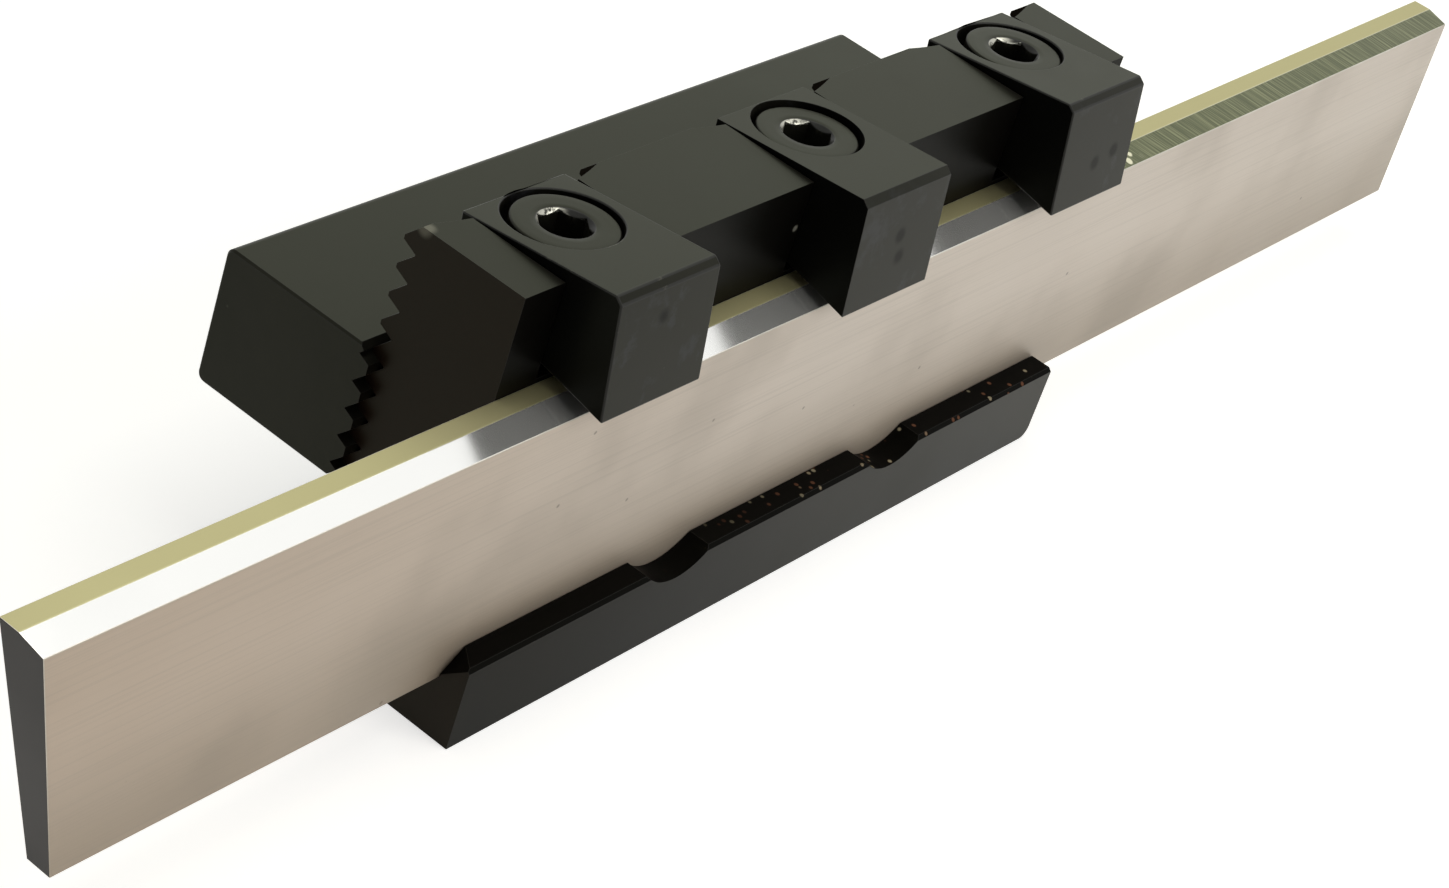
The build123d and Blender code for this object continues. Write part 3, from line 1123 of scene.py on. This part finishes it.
@dataclass
class Holder:
    """Head and shank with the two height screws between them."""

    edge_ease: float = 0.1 * MM
    shank_stain_mm: float = 12.0
    sides: tuple[str, ...] = ("left", "right")

    def build(self) -> list[Piece]:
        """Dress the head, the shank and the height screws.

        Returns:
            The pieces made.
        """
        head_skin = HeadOxideSteel("black_oxide_on_milled_steel_head").build()
        bar_skin = BlackOxideSteel(
            "black_oxide_on_milled_steel_shank", stain_mm=self.shank_stain_mm
        ).build()
        rubbed = WornEdgeSteel("rubbed_black_oxide_edges").build()
        screw_skin = BlackOxideSteel("black_oxide_on_headed_screw_steel_hidden").build()
        worn = KeyWornHighlightSteel("key_worn_socket_mouth_highlight_hidden").build()
        made = [
            EasedPiece("head", "holder", "black_steel", self.edge_ease).build(head_skin, rubbed),
            EasedPiece("shank", "holder", "black_steel", self.edge_ease).build(bar_skin, rubbed),
        ]
        for side in self.sides:
            screw = HeightScrew(f"height_screw_{side}", "holder", Drive.HEIGHT)
            made.append(screw.build(screw_skin, worn))
        return made


@dataclass
class Blade:
    """The parting blade, whose bevel is so flat that even its edges of 12 degrees are eased."""

    edge_ease: float = 0.06 * MM
    sharp_degrees: float = 12.0
    # The arris carries the same painted light: darker to the left, and darker olive reflection past
    # the last finger.
    edge_left: str = "#C9C2B6"
    edge_right: str = "#D6D1C7"
    edge_top: str = "#B5B08C"
    edge_bevel_right: str = "#8F9078"

    def build(self) -> list[Piece]:
        """Dress the blade.

        Returns:
            The piece made.
        """
        ground = GroundToolSteel("ground_tool_steel_along_x").build()
        arris = GroundToolSteel(
            "ground_tool_steel_arris",
            left=self.edge_left,
            right=self.edge_right,
            top=self.edge_top,
            bevel_right=self.edge_bevel_right,
        ).build()
        sizes = {"ease": self.edge_ease, "sharp_degrees": self.sharp_degrees}
        piece = EasedPiece("parting_blade", "blade", "ground_steel", **sizes)
        return [piece.build(ground, arris)]


@dataclass
class FingerSet:
    """The three hook fingers with their screws, whose sockets stand as the key left them."""

    edge_ease: float = 0.12 * MM
    edge_patch_mm: float = 2.0
    screw_stain_mm: float = 2.0
    turns: tuple[tuple[Station, float], ...] = (
        (Station.LEFT, -7.0),
        (Station.MIDDLE, -28.0),
        (Station.RIGHT, 15.0),
    )

    def build(self) -> list[Piece]:
        """Dress each finger and its screw.

        Returns:
            The pieces made.
        """
        skin = FingerOxideSteel("black_oxide_on_milled_steel_fingers").build()
        rubbed = WornEdgeSteel(
            "rubbed_black_oxide_finger_edges", patch_mm=self.edge_patch_mm
        ).build()
        screw_skin = BlackOxideSteel(
            "black_oxide_on_headed_screw_steel", stain_mm=self.screw_stain_mm
        ).build()
        worn = KeyWornHighlightSteel("key_worn_socket_mouth_highlight").build()
        made = []
        for station, turn in self.turns:
            name = f"clamp_{station.value}"
            made.append(EasedPiece(name, name, "clamp_steel", self.edge_ease).build(skin, rubbed))
            name = f"clamp_screw_{station.value}"
            screw = SocketScrew(name, name, Drive.FINGER, turn_degrees=turn)
            made.append(screw.build(screw_skin, worn))
        return made


@dataclass(frozen=True)
class Softbox:
    """One square soft lamp: its place and side in metres, its power in watts and its colour."""

    name: str
    place: Point
    side: float
    power: float
    tone: str

    def hang(self, aim: Point) -> None:
        """Hang the lamp and turn it to a point.

        Args:
            aim: The point that it looks at.
        """
        data = bpy.data.lights.new(self.name, "AREA")
        data.size = self.side
        data.energy = self.power
        data.color = linear_colour(self.tone)[:3]
        lamp = bpy.data.objects.new(self.name, data)
        turn = (Vector(aim) - Vector(self.place)).to_track_quat("-Z", "Y").to_matrix().to_4x4()
        lamp.matrix_world = Matrix.Translation(self.place) @ turn
        bpy.context.scene.collection.objects.link(lamp)


@dataclass
class Studio:
    """Pale floor, white surroundings, soft lamps and the camera."""

    focal_pixels: float = 3454.991
    sensor_mm: float = 36.0
    nearest: float = 0.01
    farthest: float = 20.0
    camera_place: Point = (-0.1701964, -0.0873849, 0.1279219)
    right: Point = (0.5961133, -0.7524212, 0.2801986)
    down: Point = (-0.2901644, -0.5272843, -0.7986087)
    floor_half: float = 2.5
    floor_gap: float = 0.02 * MM
    floor_tone: str = "#E8E7E4"
    floor_lift: float = 0.62
    white: str = "#FFFFFF"
    room_tone: str = "#DCDDDF"
    room_strength: float = 0.2
    aim: Point = (0.0, 0.0, 0.015)
    lamps: tuple[Softbox, ...] = (
        Softbox("overhead_softbox", (0.05, 0.0, 0.62), 0.5, 1.5, "#FFFEF8"),
        Softbox("front_softbox", (0.2, -0.66, 0.45), 0.5, 2.1, "#FFFDF8"),
        Softbox("back_right_softbox", (0.58, 0.47, 0.49), 0.6, 0.6, "#F2FFC0"),
    )

    def camera(self) -> None:
        """Put the camera where the photograph's was, with its focal length and no shift.

        The lens is the focal length in pixels over the photograph's width, times the sensor's.
        """
        data = bpy.data.cameras.new("photo_camera")
        data.sensor_width = self.sensor_mm
        data.lens = self.focal_pixels / PHOTO_SIZE[0] * self.sensor_mm
        data.clip_start = self.nearest
        data.clip_end = self.farthest
        right = Vector(self.right)
        up = -Vector(self.down)
        back = right.cross(up)
        turn = Matrix((right, up, back)).transposed().to_4x4()
        eye = bpy.data.objects.new("photo_camera", data)
        eye.matrix_world = Matrix.Translation(self.camera_place) @ turn
        bpy.context.scene.collection.objects.link(eye)
        bpy.context.scene.camera = eye

    def seen(self, tree: Tree) -> NodeSocket:
        """Tell rays that show the surroundings, straight or in metal, from rays that light.

        Args:
            tree: The node tree.

        Returns:
            A socket that is 1 for camera, glossy and transmission rays.
        """
        path = add_node(tree, "LightPath")
        rays = [path.outputs[f"Is {kind} Ray"] for kind in ("Camera", "Glossy", "Transmission")]
        return combine(tree, "MAXIMUM", *rays)

    def floor(self) -> None:
        """Lay the floor: matt and pale, white where it is seen, with the object's shadow kept."""
        reach, low = self.floor_half, -self.floor_gap
        sides = ((-reach, -reach), (reach, -reach), (reach, reach), (-reach, reach))
        corners = np.array([(x, y, low) for x, y in sides])
        square = np.array([[0, 1, 2, 3]])
        ground = mesh_from_arrays("floor", corners, square, np.empty((0, 3), int))
        material, tree, _ = blank_material("pale_matt_floor")
        matt = add_node(tree, "BsdfDiffuse", inputs={"Color": linear_colour(self.floor_tone)})
        strength = times(tree, self.seen(tree), self.floor_lift)
        lift = add_node(tree, "Emission", inputs={"Strength": strength})
        both = add_node(tree, "AddShader", inputs={0: matt.outputs[0], 1: lift.outputs[0]})
        add_node(tree, "OutputMaterial", inputs={"Surface": both.outputs[0]})
        ground.data.materials.append(material)

    def world(self) -> None:
        """Make the surroundings white where they are seen and a low soft grey as a light."""
        world = bpy.data.worlds.new("white_surroundings")
        bpy.context.scene.world = world
        world.use_nodes = True
        tree = world.node_tree
        tree.nodes.clear()
        inputs: Inputs = {0: self.seen(tree)}
        tones = ((self.room_tone, self.room_strength), (self.white, 1.0))
        for number, (tone, strength) in enumerate(tones, start=1):
            light = {"Color": linear_colour(tone), "Strength": strength}
            inputs[number] = add_node(tree, "Background", inputs=light).outputs[0]
        both = add_node(tree, "MixShader", inputs=inputs)
        add_node(tree, "OutputWorld", inputs={"Surface": both.outputs[0]})

    def build(self) -> None:
        """Set up the camera, the floor, the surroundings and the lamps."""
        bpy.context.scene.view_settings.view_transform = "Standard"
        self.camera()
        self.floor()
        self.world()
        for lamp in self.lamps:
            lamp.hang(self.aim)


def main() -> None:
    """Build the holder, the blade, the fingers and the studio in turn, and log each piece's faces."""
    logging.basicConfig(level=logging.INFO, format="%(name)s: %(message)s")
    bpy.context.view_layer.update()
    for group in (Holder(), Blade(), FingerSet()):
        for piece in group.build():
            LOG.info("%s: %d faces", piece.name, len(piece.data.polygons))
    Studio().build()
    bpy.context.view_layer.update()


if __name__ == "__main__":
    main()
